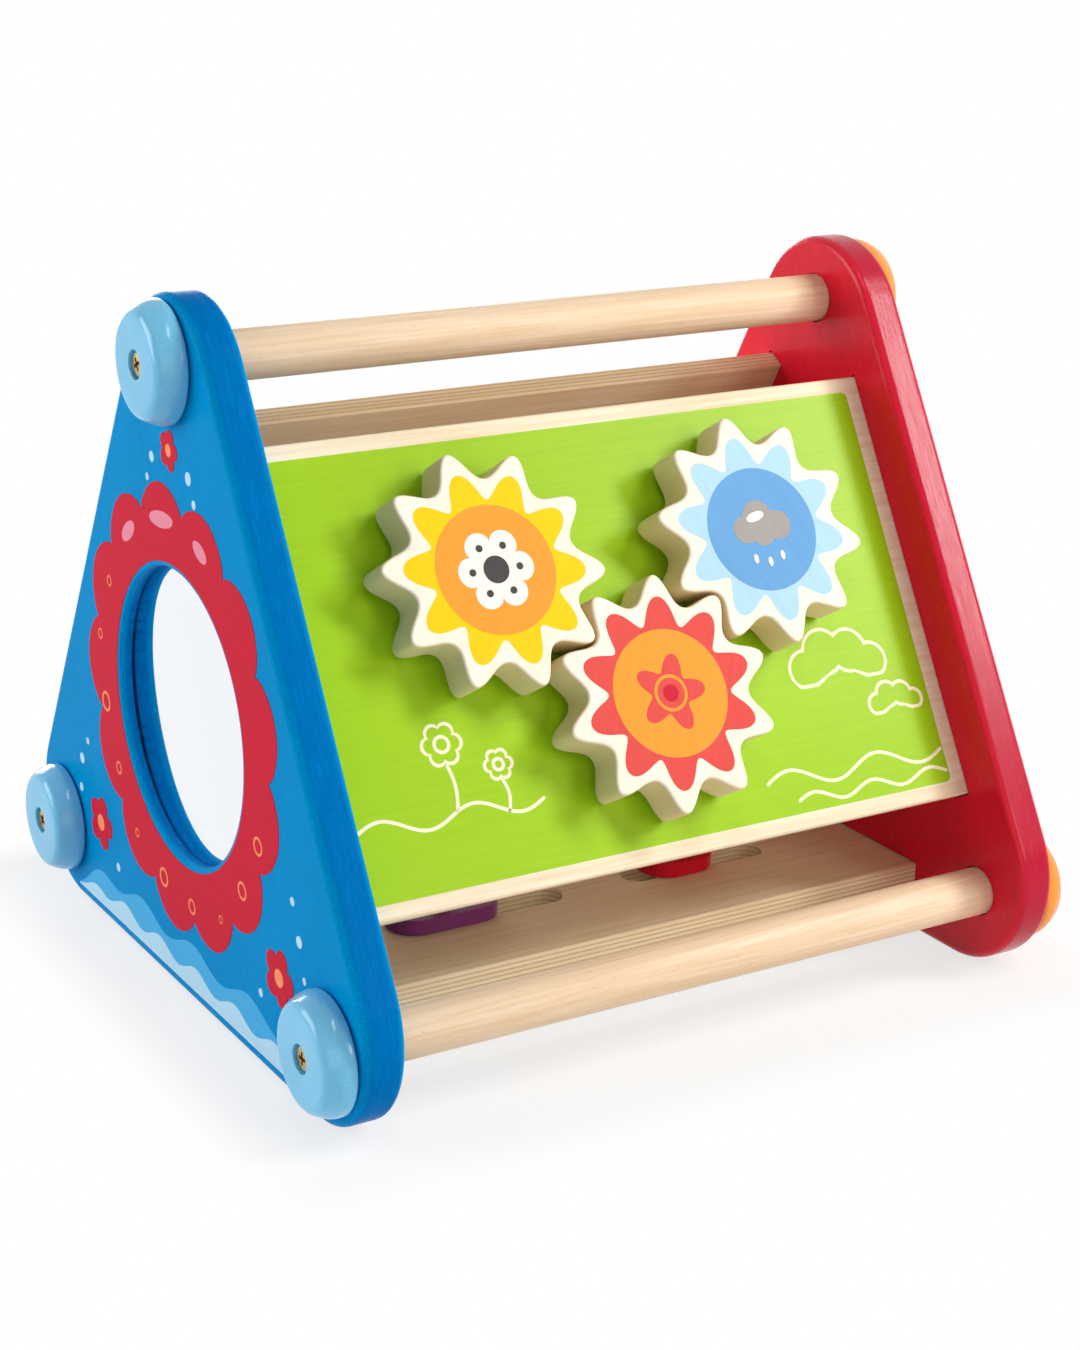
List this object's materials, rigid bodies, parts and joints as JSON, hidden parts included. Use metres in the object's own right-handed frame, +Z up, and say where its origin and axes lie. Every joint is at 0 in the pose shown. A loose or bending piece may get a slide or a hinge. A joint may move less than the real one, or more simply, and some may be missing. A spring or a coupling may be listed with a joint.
{
  "type": "activity box",
  "caption": "Triangular wooden activity box for small children: meshing play gears on a sloping board, a mirror in one end, a carry dowel on top.",
  "frame": {"origin": "on the ground, under the middle of the whole box", "axes": "+X along the dowels from the mirror end to the plain end, +Y to the back, +Z up; the gear board faces -Y"},
  "size_m": [0.2656, 0.247, 0.2224],
  "materials": {
    "blue_lacquer": "satin water-based lacquer on wood",
    "red_lacquer": "glossy lacquer on wood",
    "light_blue_lacquer": "satin lacquer on turned wood",
    "orange_lacquer": "satin lacquer on turned wood",
    "purple_lacquer": "satin lacquer on wood",
    "screw_metal": "yellow-passivated, satin",
    "beech_dowel": "clear matt varnish",
    "plywood": "bare sanded plywood",
    "gear_board_face": "printed green field on bare plywood",
    "rear_board_face": "printed plain field on bare plywood",
    "gear_wood": "bare sanded wood",
    "yellow_gear_face": "bare wood with a printed face",
    "red_gear_face": "bare wood with a printed face",
    "blue_gear_face": "bare wood with a printed face",
    "mirror": "acrylic mirror"
  },
  "bodies": {
    "frame": {"bottom_board": "plywood", "front_dowel": "beech_dowel", "gear_board": "gear_board_face", "left_end_panel": "blue_lacquer", "left_front_cap": "light_blue_lacquer", "left_front_screw": "screw_metal", "left_rear_cap": "light_blue_lacquer", "left_rear_screw": "screw_metal", "left_top_cap": "light_blue_lacquer", "left_top_screw": "screw_metal", "mirror_backing_plate": "plywood", "mirror_backing_screw_1": "screw_metal", "mirror_backing_screw_2": "screw_metal", "mirror_backing_screw_3": "screw_metal", "mirror_pane": "mirror", "rear_board": "rear_board_face", "rear_dowel": "beech_dowel", "right_end_panel": "red_lacquer", "right_front_cap": "orange_lacquer", "right_front_screw": "screw_metal", "right_rear_cap": "orange_lacquer", "right_rear_screw": "screw_metal", "right_top_cap": "orange_lacquer", "right_top_screw": "screw_metal", "top_handle_dowel": "beech_dowel"},
    "yellow_gear_body": {"yellow_gear": "yellow_gear_face", "yellow_gear_axle": "gear_wood", "yellow_gear_retaining_disc": "gear_wood", "yellow_gear_screw": "screw_metal", "yellow_gear_spacer": "gear_wood"},
    "red_gear_body": {"red_gear": "red_gear_face", "red_gear_axle": "gear_wood", "red_gear_retaining_disc": "gear_wood", "red_gear_screw": "screw_metal", "red_gear_spacer": "gear_wood"},
    "blue_gear_body": {"blue_gear": "blue_gear_face", "blue_gear_axle": "gear_wood", "blue_gear_retaining_disc": "gear_wood", "blue_gear_screw": "screw_metal", "blue_gear_spacer": "gear_wood"},
    "purple_slider_body": {"purple_slider_knob": "gear_wood", "purple_slider_plate": "purple_lacquer", "purple_slider_screw": "screw_metal"},
    "red_slider_body": {"red_slider_knob": "gear_wood", "red_slider_plate": "red_lacquer", "red_slider_screw": "screw_metal"}
  },
  "joints": [
    {"name": "red_gear_spin", "type": "hinge", "parent": "frame", "child": "red_gear_body", "pos_m": [0, -0.07049, 0.09832], "axis": [0, -0.866, 0.5], "continuous": true},
    {"name": "yellow_gear_spin", "type": "hinge", "parent": "frame", "child": "yellow_gear_body", "pos_m": [-0.0475, -0.04794, 0.13738], "axis": [0, -0.866, 0.5], "continuous": true},
    {"name": "blue_gear_spin", "type": "hinge", "parent": "frame", "child": "blue_gear_body", "pos_m": [0.0475, -0.04794, 0.13738], "axis": [0, -0.866, 0.5], "continuous": true},
    {"name": "purple_slider_slide", "type": "slide", "parent": "frame", "child": "purple_slider_body", "axis": [1, 0, 0], "range_m": [-0.008, 0.038]},
    {"name": "red_slider_slide", "type": "slide", "parent": "frame", "child": "red_slider_body", "axis": [1, 0, 0], "range_m": [-0.014, 0.029]}
  ],
  "couplings": [
    {"joint": "yellow_gear_spin", "follows": "red_gear_spin", "ratio": -1},
    {"joint": "blue_gear_spin", "follows": "red_gear_spin", "ratio": -1}
  ]
}
